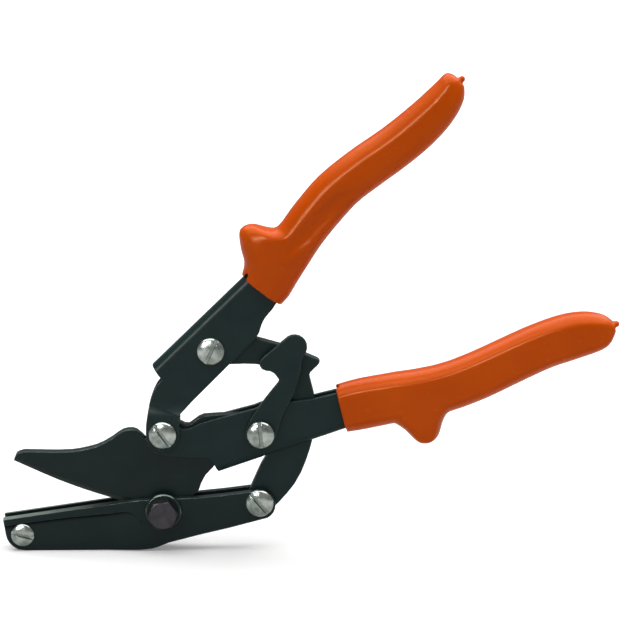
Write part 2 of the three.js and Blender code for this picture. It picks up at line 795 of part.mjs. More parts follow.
function mainBolt(seat, end) {
  const head = hexagon(BOLT_HEAD.flats, seat - BOLT_HEAD.height, seat, true, false);
  const tip = 0.5;
  const inHead = seat - 1;
  const shank = turned([
    [0, inHead],
    [BOLT_SHANK, inHead],
    [BOLT_SHANK, end - tip],
    [BOLT_SHANK - tip, end],
    [0, end],
  ]);
  return head.add(shank);
}

// A washer whose outward rim is chamfered. Outward is -1 for the front washer and 1 for the rear.
function washer(size, bore, seat, outward) {
  const back = seat + outward * size.thickness;
  const rim = back - outward * size.chamfer;
  const profile = [
    [0, seat],
    [size.radius, seat],
    [size.radius, rim],
    [size.radius - size.chamfer, back],
    [0, back],
  ];
  const [low, high] = [Math.min(seat, back) - 1, Math.max(seat, back) + 1];
  return turned(profile, 28).subtract(bar(bore, low, high));
}

function jawTipSpacer() {
  const radius = 2.9;
  const bore = bar(SMALL_SHANK + HOLE_CLEARANCE, -PLATE_INNER - 1, PLATE_INNER + 1);
  return bar(radius, -PLATE_INNER, PLATE_INNER).subtract(bore);
}

// A screw and its nut through one pivot. Over a moving layer both keep the head gap.
function pivotPair(name, pivot, turn, front, back) {
  const end = back + NUT.height + THREAD_PAST_NUT;
  const screw = slottedScrew(SCREW_HEAD, SCREW_SHANK, front, end);
  return [
    placed(piece(name + "_screw", screw, ZINC), pivot, turn),
    placed(piece(name + "_nut", hexNut(NUT, SCREW_SHANK, back), ZINC), pivot, TURNS.nut),
  ];
}

// ---- assembly -----------------------------------------------------------------------------------

function group(...members) {
  const made = new THREE.Group();
  made.add(...members);
  return made;
}

function fixedHandle() {
  const seat = JAW_OUTER + HEAD_GAP;
  const outside = seat + WASHER.thickness;
  const bore = BOLT_SHANK + HOLE_CLEARANCE;
  const armSeat = ARM_OUTER + HEAD_GAP;
  const latchSeat = -armSeat - SPRING_WASHER.thickness;
  const latchBore = SCREW_SHANK + HOLE_CLEARANCE;
  const springWasher = washer(SPRING_WASHER, latchBore, -armSeat, -1);
  const bolt = mainBolt(-outside, outside + MAIN_NUT.height + THREAD_PAST_NUT);
  return group(
    piece("lower_handle_channel", lowerHandleChannel(), PAINTED),
    piece("upper_blade", upperBlade(), GROUND),
    piece("lower_grip", lowerGrip(), VINYL),
    placed(piece("main_pivot_bolt", bolt, BLACKENED), MAIN_PIVOT, TURNS.bolt),
    piece("main_pivot_front_washer", washer(WASHER, bore, -seat, -1), PAINTED),
    piece("main_pivot_rear_washer", washer(WASHER, bore, seat, 1), PAINTED),
    piece("main_pivot_nut", hexNut(MAIN_NUT, BOLT_SHANK, outside), BLACKENED),
    ...pivotPair("handle_pivot", HANDLE_PIVOT, TURNS.handle, -armSeat, armSeat),
    ...pivotPair("latch_pivot", LATCH_PIVOT, TURNS.latch, latchSeat, CHANNEL_OUTER),
    placed(piece("latch_spring_washer", springWasher, SPRING_STEEL), LATCH_PIVOT),
  );
}

function movingHandle() {
  return group(
    piece("upper_handle_channel", upperHandleChannel(), PAINTED),
    piece("upper_grip", upperGrip(), VINYL),
    piece("return_spring", returnSpring(), SPRING_STEEL),
    ...pivotPair("link_top", LINK_TOP, TURNS.linkTop, -CHANNEL_OUTER, CHANNEL_OUTER),
  );
}

function lowerJaw() {
  const back = JAW_OUTER - RECESS_DEPTH;
  const end = back + SMALL_NUT.height + THREAD_PAST_NUT;
  const tipScrew = slottedScrew(SMALL_HEAD, SMALL_SHANK, -back, end);
  const tipNut = hexNut(SMALL_NUT, SMALL_SHANK, back);
  return group(
    piece("front_lower_blade", frontLowerBlade(), GROUND),
    piece("rear_lower_blade", frontLowerBlade().mirror([0, 1, 0]), GROUND),
    placed(piece("jaw_tip_spacer", jawTipSpacer(), SPRING_STEEL), JAW_TIP),
    placed(piece("jaw_tip_screw", tipScrew, ZINC), JAW_TIP, TURNS.tip),
    placed(piece("jaw_tip_nut", tipNut, ZINC), JAW_TIP, TURNS.nut),
    ...pivotPair("link_bottom", LINK_BOTTOM, TURNS.linkBottom, -JAW_OUTER, JAW_OUTER),
  );
}

const BOLT_FRONT = JAW_OUTER + HEAD_GAP + WASHER.thickness + BOLT_HEAD.height;

const snips = group(
  fixedHandle(),
  movingHandle(),
  lowerJaw(),
  piece("drive_link", driveLink(), PAINTED),
  piece("latch", latch(), PAINTED),
);
snips.position.y = BOLT_FRONT;

export default snips;
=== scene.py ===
"""Double-cut aviation snips, open and standing on edge on a pale floor, under soft studio light."""

import json
import math

import bmesh
import bpy
from mathutils import Matrix, Vector


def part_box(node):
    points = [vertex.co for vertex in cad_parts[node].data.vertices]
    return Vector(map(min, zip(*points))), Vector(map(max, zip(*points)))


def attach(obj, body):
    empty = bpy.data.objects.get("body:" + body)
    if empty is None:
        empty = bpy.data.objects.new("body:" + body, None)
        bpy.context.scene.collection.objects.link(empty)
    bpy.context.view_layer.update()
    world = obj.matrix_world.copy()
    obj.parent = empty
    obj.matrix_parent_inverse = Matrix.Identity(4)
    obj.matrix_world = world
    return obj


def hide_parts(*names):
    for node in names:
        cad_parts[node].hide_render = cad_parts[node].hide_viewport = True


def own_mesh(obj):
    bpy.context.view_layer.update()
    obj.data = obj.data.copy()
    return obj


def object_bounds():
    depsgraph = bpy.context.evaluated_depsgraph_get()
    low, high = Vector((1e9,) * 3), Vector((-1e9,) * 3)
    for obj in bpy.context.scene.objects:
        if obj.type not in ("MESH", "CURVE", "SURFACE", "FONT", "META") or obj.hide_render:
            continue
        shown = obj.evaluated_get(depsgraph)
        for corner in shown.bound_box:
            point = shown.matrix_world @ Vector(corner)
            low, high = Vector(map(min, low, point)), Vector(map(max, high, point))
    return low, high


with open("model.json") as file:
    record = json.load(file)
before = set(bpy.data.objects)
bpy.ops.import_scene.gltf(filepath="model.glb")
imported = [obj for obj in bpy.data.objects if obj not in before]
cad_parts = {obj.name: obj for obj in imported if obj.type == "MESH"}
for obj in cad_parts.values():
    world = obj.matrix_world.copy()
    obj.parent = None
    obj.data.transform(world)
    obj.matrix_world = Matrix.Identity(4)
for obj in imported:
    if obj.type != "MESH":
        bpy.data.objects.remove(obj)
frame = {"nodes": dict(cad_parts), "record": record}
cad_low, cad_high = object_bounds()

MM = 0.001
NODES = frame["nodes"]
RECORD = frame["record"]
SLOT_OF = {row["node"]: row["material_slot"] for row in RECORD["subparts"]}
BODY_OF = {n: body for body, members in RECORD["behaviour"]["bodies"].items() for n in members}

# ---- sizes --------------------------------------------------------------------------------------

FOLDED_EDGE = 0.22 * MM  # rounding of sheared sheet edges
PLATE_EDGE = 0.12 * MM  # rounding of a chamfer's two edges
FASTENER_EDGE = 0.07 * MM
BOLT_EDGE = 0.12 * MM
THIN_WASHER_EDGE = 0.04 * MM
SHARP_ANGLE = math.radians(28)
FINE_SEGMENTS = 96

PAINTED_SHADE_REACH = 1.8 * MM  # how far the painted shade reaches out of an inside corner
TURNING_MARKS = 21000  # radians per metre, which sets the marks 0.3 mm apart

SHANKS = {
    "main_pivot_nut": 3.15 * MM,
    "handle_pivot_nut": 2.5 * MM,
    "latch_pivot_nut": 2.5 * MM,
    "link_top_nut": 2.5 * MM,
    "link_bottom_nut": 2.5 * MM,
    "jaw_tip_nut": 2.0 * MM,
}
SMALL_HEAD = 5 * MM  # a head of at most this radius is the lower of the two kinds
HEAD_HEIGHT = {"large": 2.7 * MM, "small": 2.2 * MM}
HEAD_RIM = 0.7 * MM  # height of the straight rim under the dome
DOME_STEPS = 14
DRIVER_SLOT = {"width": 1.5 * MM, "depth": 1.3 * MM}
THREAD = {"pitch": 0.8 * MM, "depth": 0.32 * MM, "step": 0.1 * MM}
THREAD_TIP = {"length": 0.5 * MM, "inset": 0.35 * MM}
NUT_CONE = math.radians(30)
NUT_LEAD = 0.35 * MM  # chamfer at the outer end of a nut's bore
NUT_PLAY = 0.02 * MM  # between a nut's bore and its shank
FACE_INSET = 0.1 * MM  # from a hexagon's flats in to its turned face
WASHER_CHAMFER = 0.5 * MM
THIN_WASHER_CHAMFER = 0.1 * MM

# How far each screw's slot and the bolt's hexagon are turned about the pivot, in degrees.
TURNS = {
    "handle_pivot_screw": 55,
    "latch_pivot_screw": 84,
    "link_top_screw": -65,
    "link_bottom_screw": 50,
    "jaw_tip_screw": 14,
    "main_pivot_bolt": -38,
}
NUT_TURN = 10

GRIP_VOXEL = 0.5 * MM
GRIP_SMOOTHING = 28
MOUTH = {"firm": 1 * MM, "blend": 8 * MM, "least": 0.12}
NIB = {"radius": 1.4 * MM, "sunk": 0.7 * MM, "firm": 3 * MM, "blend": 4 * MM, "least": 0.04}
# The slopes in degrees of each grip's sleeve at its mouth and of its nib.
GRIPS = {"upper_grip": {"mouth": 52, "nib": 41}, "lower_grip": {"mouth": 6, "nib": 11}}

CAMERA = {"elevation": math.radians(13), "distance": 1.4, "lens": 196.7, "sensor": 36}
AIM = Vector((1.1, 0, 0.5)) * MM  # from the middle of the snips' box

# ---- places worked out from the frame -----------------------------------------------------------


def centre(node):
    low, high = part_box(node)
    return (low + high) / 2


def size(node):
    low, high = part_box(node)
    return high - low


MIDDLE_Y = centre("drive_link").y
FLOOR_Z = cad_low.z

# ---- node helpers -------------------------------------------------------------------------------


class Shader:
    """A material's node tree, with short calls for the nodes that the finishes share."""

    def __init__(self, name):
        self.material = bpy.data.materials.new(name)
        self.material.use_nodes = True
        self.tree = self.material.node_tree
        self.surface = self.tree.nodes["Principled BSDF"]
        coordinates = self.add("ShaderNodeTexCoord")
        self.position = coordinates.outputs["Object"]

    def add(self, kind, **settings):
        node = self.tree.nodes.new(kind)
        for key, value in settings.items():
            setattr(node, key, value)
        return node

    def link(self, source, target):
        self.tree.links.new(source, target)

    def put(self, target, value):
        """Links a socket, or sets a plain value."""
        if isinstance(value, bpy.types.NodeSocket):
            self.link(value, target)
        else:
            target.default_value = value

    def set(self, **values):
        for key, value in values.items():
            self.put(self.surface.inputs[key.replace("_", " ")], value)

    def noise(self, scale, detail=2.0, roughness=0.5, vector=None):
        node = self.add("ShaderNodeTexNoise")
        node.inputs["Scale"].default_value = scale
        node.inputs["Detail"].default_value = detail
        node.inputs["Roughness"].default_value = roughness
        self.link(vector or self.position, node.inputs["Vector"])
        return node.outputs["Fac"]

    def stretched(self, scale, location=(0, 0, 0), rotation=(0, 0, 0)):
        node = self.add("ShaderNodeMapping")
        node.inputs["Location"].default_value = location
        node.inputs["Rotation"].default_value = rotation
        node.inputs["Scale"].default_value = scale
        self.link(self.position, node.inputs["Vector"])
        return node.outputs["Vector"]

    def ranged(self, value, low, high, to_low, to_high):
        node = self.add("ShaderNodeMapRange")
        ends = {"From Min": low, "From Max": high, "To Min": to_low, "To Max": to_high}
        for key, number in ends.items():
            node.inputs[key].default_value = number
        self.put(node.inputs["Value"], value)
        return node.outputs["Result"]

    def maths(self, operation, first, second=0.0):
        node = self.add("ShaderNodeMath", operation=operation)
        self.put(node.inputs[0], first)
        self.put(node.inputs[1], second)
        return node.outputs["Value"]

    def mixed(self, share, first, second):
        node = self.add("ShaderNodeMix", data_type="RGBA")
        self.put(node.inputs["Factor"], share)
        self.put(node.inputs["A"], first)
        self.put(node.inputs["B"], second)
        return node.outputs["Result"]

    def bump(self, height, distance, strength=1.0, under=None):
        node = self.add("ShaderNodeBump")
        node.inputs["Strength"].default_value = strength
        node.inputs["Distance"].default_value = distance
        self.link(height, node.inputs["Height"])
        if under:
            self.link(under, node.inputs["Normal"])
        return node.outputs["Normal"]

    def painted_corner_shade(self, reach, closed=0.62, most=1.0):
        """Painted shade, most deep in the piece's own inside corners and zero in the open."""
        node = self.add("ShaderNodeAmbientOcclusion", only_local=True, samples=8)
        node.inputs["Distance"].default_value = reach
        return self.ranged(node.outputs["AO"], closed, 0.985, most, 0)

    def stored(self, attribute):
        """A value kept at each corner of the mesh."""
        node = self.add("ShaderNodeAttribute", attribute_name=attribute)
        return node.outputs["Fac"]


def rgb(red, green, blue):
    """An sRGB colour of 0 to 255 as the linear colour that shaders take."""
    linear = [
        c / 12.92 if c <= 0.04045 else ((c + 0.055) / 1.055) ** 2.4
        for c in (red / 255, green / 255, blue / 255)
    ]
    return (*linear, 1.0)


# ---- finishes -----------------------------------------------------------------------------------


def painted_steel(name, bare_share):
    """Satin green-black paint with a fine orange peel, rubbed through over a share of its area."""
    s = Shader(name)
    mottle = s.ranged(s.noise(70, 4, 0.6), 0.3, 0.7, 0, 1)
    paint = s.mixed(mottle, rgb(20, 43, 43), rgb(26, 50, 49))
    # Painted shade: darker paint and a weaker reflection in the piece's own inside corners.
    corner_shade = s.painted_corner_shade(PAINTED_SHADE_REACH)
    paint = s.mixed(corner_shade, paint, rgb(3, 8, 8))
    wear = s.ranged(s.noise(420, 3), 0.42, 0.62, bare_share / 3, bare_share)
    s.set(Base_Color=s.mixed(wear, paint, rgb(88, 104, 98)))
    s.set(Roughness=s.ranged(s.noise(900, 3), 0.3, 0.7, 0.3, 0.42))
    s.set(Metallic=s.ranged(wear, 0, 1, 0.0, 0.6))
    peel = s.bump(s.noise(2600, 2), 0.02 * MM, 0.6)
    s.set(Normal=s.bump(s.noise(240, 2), 0.03 * MM, 0.3, peel))
    s.set(Specular_IOR_Level=s.ranged(corner_shade, 0, 1, 0.25, 0.03))
    return s.material


def blade_steel(name, bare_share):
    """The blades' green-black finish: smoother than the handles' paint, with faint rolled grain."""
    s = Shader(name)
    grain = s.noise(1, 4, 0.6, s.stretched((160, 900, 1900)))
    mottle = s.ranged(s.noise(60, 4, 0.6), 0.3, 0.7, 0, 1)
    finish = s.mixed(mottle, rgb(14, 35, 36), rgb(19, 41, 41))
    # Painted shade: darker finish and a weaker reflection in the blade's own inside corners, such
    # as under the recess step.
    corner_shade = s.painted_corner_shade(PAINTED_SHADE_REACH, closed=0.78)
    finish = s.mixed(corner_shade, finish, rgb(3, 8, 8))
    wear = s.ranged(s.noise(420, 3), 0.42, 0.62, bare_share / 3, bare_share)
    s.set(Base_Color=s.mixed(wear, finish, rgb(96, 112, 105)))
    s.set(Metallic=s.ranged(wear, 0, 1, 0.0, 0.7))
    s.set(Roughness=s.ranged(grain, 0.3, 0.7, 0.28, 0.38))
    s.set(Normal=s.bump(grain, 0.02 * MM, 0.5))
    s.set(Specular_IOR_Level=s.ranged(corner_shade, 0, 1, 0.28, 0.03))
    return s.material


def ground_edge():
    """The ground lands of the lower blades: dark near the pivot, barer towards the tips."""
    s = Shader("ground_edge")
    lines = s.noise(1, 3, 0.7, s.stretched((4200, 260, 4200), rotation=(0, 0, math.radians(8))))
    patches = s.ranged(s.noise(130, 3), 0.35, 0.65, 0, 1)
    along = s.add("ShaderNodeSeparateXYZ")
    s.link(s.position, along.inputs[0])
    bare = s.ranged(along.outputs["X"], -0.052, -0.022, 1, 0)
    film = s.mixed(patches, rgb(44, 60, 54), rgb(54, 70, 63))
    steel = s.mixed(patches, rgb(104, 118, 111), rgb(126, 139, 131))
    s.set(Base_Color=s.mixed(bare, film, steel))
    s.set(Metallic=0.6)
    s.set(Roughness=s.ranged(lines, 0.3, 0.7, 0.3, 0.48))
    s.set(Normal=s.bump(lines, 0.02 * MM, 0.7))
    return s.material


def ground_strip():
    """The strip beside the upper blade's cutting edge, a little lighter than the blade."""
    s = Shader("ground_strip")
    lines = s.noise(1, 3, 0.7, s.stretched((1500, 900, 1500), rotation=(0, math.radians(20), 0)))
    patches = s.ranged(s.noise(150, 3), 0.35, 0.65, 0, 1)
    film = s.mixed(patches, rgb(38, 56, 54), rgb(48, 65, 61))
    # Painted shade: the strip is darkened in its inside corner under the step.
    s.set(Base_Color=s.mixed(s.painted_corner_shade(PAINTED_SHADE_REACH, closed=0.8), film, rgb(3, 8, 8)))
    s.set(Roughness=s.ranged(lines, 0.3, 0.7, 0.3, 0.44))
    s.set(Normal=s.bump(lines, 0.015 * MM, 0.5))
    s.set(Specular_IOR_Level=0.3)
    return s.material


def turned_steel(name, dark, light, roughness, ring_depth):
    """Metal with the fine rings that turning leaves about the piece's axis."""
    s = Shader(name)
    rings = s.maths("SINE", s.maths("MULTIPLY", s.stored("from_axis"), TURNING_MARKS))
    patches = s.ranged(s.noise(260, 4, 0.6), 0.34, 0.66, 0, 1)
    # Painted shade: darker metal in the piece's own inside corners, such as under a head.
    shade = s.painted_corner_shade(PAINTED_SHADE_REACH, closed=0.3, most=0.6)
    s.set(Base_Color=s.mixed(shade, s.mixed(patches, dark, light), rgb(20, 22, 21)))
    s.set(Metallic=1.0)
    s.set(Roughness=s.ranged(s.noise(520, 3), 0.3, 0.7, *roughness))
    under = s.bump(rings, ring_depth, 0.35)
    s.set(Normal=s.bump(s.noise(900, 3), 0.012 * MM, 0.3, under))
    return s.material


def orange_vinyl():
    """Semi-gloss moulded vinyl: a soft waviness, a very fine grain and slightly uneven colour."""
    s = Shader("orange_vinyl")
    cloud = s.ranged(s.noise(35, 3), 0.3, 0.7, 0, 1)
    s.set(Base_Color=s.mixed(cloud, rgb(222, 84, 1), rgb(232, 92, 4)))
    s.set(Roughness=s.ranged(s.noise(260, 4), 0.3, 0.7, 0.2, 0.28))
    wavy = s.bump(s.noise(95, 2), 0.12 * MM, 0.35)
    s.set(Normal=s.bump(s.noise(3200, 2), 0.012 * MM, 0.5, wavy))
    s.set(Specular_IOR_Level=0.3, Specular_Tint=(1.0, 0.6, 0.34, 1))
    s.set(Subsurface_Weight=0.08, Subsurface_Radius=(0.9, 0.25, 0.08), Subsurface_Scale=1.5 * MM)
    return s.material


FINISHES = {
    "painted_steel": painted_steel("painted_steel", 0.0),
    "painted_steel_edge": painted_steel("painted_steel_edge", 0.45),
    "blade_steel": blade_steel("blade_steel", 0.0),
    "blade_steel_edge": blade_steel("blade_steel_edge", 0.6),
    "ground_edge": ground_edge(),
    "ground_strip": ground_strip(),
    "zinc_steel": turned_steel(
        "zinc_steel", rgb(150, 162, 154), rgb(226, 234, 226), (0.15, 0.25), 0.006 * MM
    ),
    "black_oxide_steel": turned_steel(
        "black_oxide_steel", rgb(68, 66, 70), rgb(84, 82, 86), (0.4, 0.52), 0.008 * MM
    ),
    "slot_shade": turned_steel("slot_shade", rgb(44, 50, 46), rgb(70, 78, 73), (0.4, 0.5), 0.0),
    "worn_rim": turned_steel("worn_rim", rgb(84, 96, 89), rgb(112, 124, 116), (0.2, 0.3), 0.0),
    "spring_steel": turned_steel(
        "spring_steel", rgb(92, 95, 98), rgb(124, 127, 130), (0.28, 0.4), 0.0
    ),
    "orange_vinyl": orange_vinyl(),
}

# ---- mesh helpers -------------------------------------------------------------------------------


def linked(name, mesh):
    piece = bpy.data.objects.new(name, mesh)
    bpy.context.scene.collection.objects.link(piece)
    return piece


def settled(piece):
    """Applies the piece's modifiers to its mesh."""
    bpy.context.view_layer.update()
    graph = bpy.context.evaluated_depsgraph_get()
    mesh = bpy.data.meshes.new_from_object(piece.evaluated_get(graph), depsgraph=graph)
    piece.modifiers.clear()
    piece.data = mesh
    return piece


def smooth_shaded(mesh):
    mesh.polygons.foreach_set("use_smooth", [True] * len(mesh.polygons))
    mesh.update()


def rounded(piece, width, segments=3, edge_slot=-1):
    """Rounds every sharp edge, and keeps the flats beside it looking flat."""
    bevel = piece.modifiers.new("edges", "BEVEL")
    bevel.width = width
    bevel.segments = segments
    bevel.limit_method = "ANGLE"
    bevel.angle_limit = SHARP_ANGLE
    bevel.use_clamp_overlap = False
    bevel.material = edge_slot
    flats = piece.modifiers.new("flats", "WEIGHTED_NORMAL")
    flats.weight = 100
    flats.keep_sharp = True
    smooth_shaded(piece.data)
    return piece


def stand_for(piece, node):
    """The piece rides where its CAD node does, and replaces it."""
    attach(piece, BODY_OF[node])
    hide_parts(node)
    return piece


def clean_copy(node):
    """The node's mesh with its split corners joined and its flat triangles merged."""
    mesh = NODES[node].data.copy()
    form = bmesh.new()
    form.from_mesh(mesh)
    bmesh.ops.remove_doubles(form, verts=form.verts, dist=0.002 * MM)
    bmesh.ops.dissolve_limit(
        form, angle_limit=math.radians(0.6), verts=form.verts, edges=form.edges
    )
    form.to_mesh(mesh)
    form.free()
    mesh.materials.clear()
    return linked(node + "_finished", mesh)


# ---- sheet and plate pieces ---------------------------------------------------------------------


def steel_piece(node, edge):
    """The node's own form with its edges rounded, and its finish rubbed there."""
    piece = clean_copy(node)
    finish = SLOT_OF[node]
    piece.data.materials.append(FINISHES[finish])
    piece.data.materials.append(FINISHES.get(finish + "_edge", FINISHES[finish]))
    return stand_for(rounded(piece, edge, edge_slot=1), node)


def is_lower_land(polygon):
    """The sloping ground strip along a lower blade's top edge."""
    return polygon.normal.z > 0.9 and polygon.center.x < centre("main_pivot_bolt").x


def is_upper_strip(polygon):
    """The set-back ground strip beside the upper blade's cutting edge."""
    flank = size("upper_blade").y / 2
    inset = flank - abs(polygon.center.y - MIDDLE_Y)
    return abs(polygon.normal.y) > 0.99 and 0.05 * MM < inset < 1.0 * MM


def blade(node, is_ground, finish):
    """A blade with its own finish where it is ground."""
    piece = steel_piece(node, PLATE_EDGE)
    piece.data.materials.append(FINISHES[finish])
    for polygon in piece.data.polygons:
        polygon.material_index = 2 if is_ground(polygon) else 0
    return piece


for name in ("lower_handle_channel", "upper_handle_channel"):
    steel_piece(name, FOLDED_EDGE)
for name in ("drive_link", "latch", "jaw_tip_spacer"):
    steel_piece(name, PLATE_EDGE)
for name in ("front_lower_blade", "rear_lower_blade"):
    blade(name, is_lower_land, "ground_edge")
blade("upper_blade", is_upper_strip, "ground_strip")


def return_spring():
    """The bent leaf, made in its rest shape only. On the real snips the link's shoulder presses it
    flatter as the handles close.
    """
    piece = settled(steel_piece("return_spring", PLATE_EDGE))
    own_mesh(piece)


return_spring()

# ---- fasteners ----------------------------------------------------------------------------------


def skin(rings, name, bored=False):
    """A closed mesh from rings of points: capped at both ends, or bored, where last meets first."""
    around = len(rings[0])
    points = [p for ring in rings for p in ring]
    faces = []
    for i in range(len(rings) if bored else len(rings) - 1):
        here, above = i * around, (i + 1) % len(rings) * around
        for j in range(around):
            k = (j + 1) % around
            faces.append((here + j, here + k, above + k, above + j))
    if not bored:
        last = (len(rings) - 1) * around
        faces.append(tuple(range(around - 1, -1, -1)))
        faces.append(tuple(range(last, last + around)))
    mesh = bpy.data.meshes.new(name)
    mesh.from_pydata(points, [], faces)
    form = bmesh.new()
    form.from_mesh(mesh)
    bmesh.ops.recalc_face_normals(form, faces=form.faces)
    form.to_mesh(mesh)
    form.free()
    return mesh


def ring(radius, y, segments=FINE_SEGMENTS):
    """Points about the Y axis. Radius and y are numbers, or functions of the angle."""
    points = []
    for i in range(segments):
        angle = 2 * math.pi * i / segments
        r = radius(angle) if callable(radius) else radius
        height = y(angle) if callable(y) else y
        points.append((r * math.cos(angle), height, r * math.sin(angle)))
    return points


def at_pivot(piece, node, turn=0.0):
    """Puts a piece made about the Y axis at its node's pivot, turned about it in degrees."""
    radii = piece.data.attributes.new("from_axis", "FLOAT", "POINT")
    radii.data.foreach_set("value", [math.hypot(v.co.x, v.co.z) for v in piece.data.vertices])
    where = centre(node)
    spun = Matrix.Rotation(math.radians(turn), 4, "Y")
    piece.matrix_world = Matrix.Translation((where.x, 0, where.z)) @ spun
    return piece


def thread_rings(radius, start, end):
    """A shank's rings from start to end, with a helical thread and a chamfered tip."""
    rings = []
    steps = round((end - start) / THREAD["step"])
    for i in range(steps + 1):
        y = start + (end - start) * i / steps
        to_tip = min(1.0, (end - y) / THREAD_TIP["length"])

        def threaded(angle, y=y, to_tip=to_tip):
            turns = y / THREAD["pitch"] + angle / (2 * math.pi)
            wave = abs(2 * (turns % 1) - 1)
            return radius - THREAD["depth"] * wave - THREAD_TIP["inset"] * (1 - to_tip)

        rings.append(ring(threaded, y))
    return rings


def slotted_screw(node, nut):
    """A dome-head screw with a driver slot, and a thread where its nut sits."""
    low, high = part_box(node)
    head = max(size(node).x, size(node).z) / 2
    crown, end = low.y, high.y
    nut_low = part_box(nut)[0].y
    shank = SHANKS[nut]
    height = HEAD_HEIGHT["large" if head > SMALL_HEAD else "small"]
    seat = crown + height
    rings = []
    for i in range(1, DOME_STEPS + 1):
        angle = math.pi / 2 * i / DOME_STEPS
        rise = (height - HEAD_RIM) * math.cos(angle)
        rings.append(ring(head * math.sin(angle), seat - HEAD_RIM - rise))
    rings.append(ring(head, seat))
    rings.append(ring(shank, seat))
    rings.extend(thread_rings(shank, nut_low - THREAD["pitch"], end))
    piece = linked(node + "_finished", skin(rings, node))
    cutter = driver_cutter(head, crown)
    cut = piece.modifiers.new("slot", "BOOLEAN")
    cut.operation = "DIFFERENCE"
    cut.solver = "EXACT"
    cut.object = cutter
    settled(piece)
    bpy.data.objects.remove(cutter)
    piece.data.materials.clear()
    piece.data.materials.append(FINISHES[SLOT_OF[node]])
    piece.data.materials.append(FINISHES["slot_shade"])
    half = DRIVER_SLOT["width"] / 2
    for polygon in piece.data.polygons:
        on_wall = abs(abs(polygon.center.z) - half) < 0.01 * MM and abs(polygon.normal.z) > 0.99
        polygon.material_index = 1 if on_wall else 0
    rounded(piece, FASTENER_EDGE, 2)
    return stand_for(at_pivot(piece, node, TURNS[node]), node)


def driver_cutter(head, crown):
    """The block that cuts the driver slot across a screw's head."""
    mesh = bpy.data.meshes.new("cutter")
    form = bmesh.new()
    bmesh.ops.create_cube(form, size=1.0)
    bmesh.ops.scale(
        form, vec=(3 * head, 2 * DRIVER_SLOT["depth"], DRIVER_SLOT["width"]), verts=form.verts
    )
    bmesh.ops.translate(form, vec=(0, crown, 0), verts=form.verts)
    form.to_mesh(mesh)
    form.free()
    return linked("cutter", mesh)


def hexagon_at(flats):
    """The radius of a hexagon with those flats, as a function of the angle."""
    sixth = math.pi / 3
    return lambda angle: flats / 2 / math.cos((angle + sixth / 2) % sixth - sixth / 2)


def hex_rings(flats, face, seat):
    """A hexagon's rings from the middle of its turned face to its seat, either way along Y."""
    edge = hexagon_at(flats)
    flat = flats / 2 - FACE_INSET
    way = 1 if seat > face else -1

    def turned_down(angle):
        return face + way * (edge(angle) - flat) * math.tan(NUT_CONE)

    return [ring(flat, face), ring(edge, turned_down), ring(edge, seat)]


def hex_nut(node):
    """A nut with its turned face to the rear, and a hole through it for its shank."""
    low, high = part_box(node)
    bore = SHANKS[node] + NUT_PLAY
    rings = [ring(bore, low.y), ring(bore, high.y - NUT_LEAD), ring(bore + NUT_LEAD, high.y)]
    rings += hex_rings(across_flats(node), high.y, low.y)
    piece = linked(node + "_finished", skin(rings, node, bored=True))
    piece.data.materials.append(FINISHES[SLOT_OF[node]])
    rounded(piece, FASTENER_EDGE, 2)
    return stand_for(at_pivot(piece, node, NUT_TURN), node)


def across_flats(node):
    """A hexagon's width across its flats, from its corners' distance to its middle."""
    where = centre(node)
    reach = max(math.hypot(v.co.x - where.x, v.co.z - where.z) for v in NODES[node].data.vertices)
    return reach * math.sqrt(3)


def main_bolt():
    """The hex-head pivot bolt, threaded where its nut sits."""
    node = "main_pivot_bolt"
    low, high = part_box(node)
    head_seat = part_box("main_pivot_front_washer")[0].y
    nut_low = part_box("main_pivot_nut")[0].y
    shank = SHANKS["main_pivot_nut"]
    rings = hex_rings(across_flats(node), low.y, head_seat)
    rings.append(ring(shank, head_seat))
    rings.extend(thread_rings(shank, nut_low - THREAD["pitch"], high.y))
    piece = linked(node + "_finished", skin(rings, node))
    piece.data.materials.append(FINISHES[SLOT_OF[node]])
    rounded(piece, BOLT_EDGE, 2)
    return stand_for(at_pivot(piece, node, TURNS[node]), node)


def washer(node, chamfer, outward):
    """A washer with its outer rim chamfered on the side that faces outwards."""
    low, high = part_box(node)
    radius = size(node).x / 2
    where = centre(node)
    bore = min(math.hypot(v.co.x - where.x, v.co.z - where.z) for v in NODES[node].data.vertices)
    face, seat = (low.y, high.y) if outward < 0 else (high.y, low.y)
    rim = face - outward * chamfer
    rings = [ring(bore, seat), ring(bore, face), ring(radius - chamfer, face)]
    rings += [ring(radius, rim), ring(radius, seat)]
    piece = linked(node + "_finished", skin(rings, node, bored=True))
    piece.data.materials.append(FINISHES[SLOT_OF[node]])
    piece.data.materials.append(FINISHES["worn_rim"])
    for polygon in piece.data.polygons:
        polygon.material_index = 1 if 0.3 < abs(polygon.normal.y) < 0.9 else 0
    rounded(piece, PLATE_EDGE if chamfer > PLATE_EDGE else THIN_WASHER_EDGE)
    return stand_for(at_pivot(piece, node), node)


for pivot in ("handle_pivot", "latch_pivot", "link_top", "link_bottom", "jaw_tip"):
    slotted_screw(pivot + "_screw", pivot + "_nut")
    hex_nut(pivot + "_nut")
hex_nut("main_pivot_nut")
main_bolt()
washer("main_pivot_front_washer", WASHER_CHAMFER, -1)
washer("main_pivot_rear_washer", WASHER_CHAMFER, 1)
washer("latch_spring_washer", THIN_WASHER_CHAMFER, -1)

# ---- grips --------------------------------------------------------------------------------------


def nib_end(piece):
    """The grip's furthest point, which is the end of its nib."""
    return max((v.co for v in piece.data.vertices), key=lambda co: co.x).copy()


def stout_nib(piece, slope):
    """Sinks a ball behind the nib, so that its neck is stout. Slope is the way the nib points."""
    inward = -Vector((math.cos(math.radians(slope)), 0, math.sin(math.radians(slope))))
    where = nib_end(piece) - Vector((NIB["radius"], 0, 0)) + inward * NIB["sunk"]
    form = bmesh.new()
    form.from_mesh(piece.data)
    bmesh.ops.create_icosphere(
        form, subdivisions=3, radius=NIB["radius"], matrix=Matrix.Translation(where)
    )
    form.to_mesh(piece.data)
    form.free()


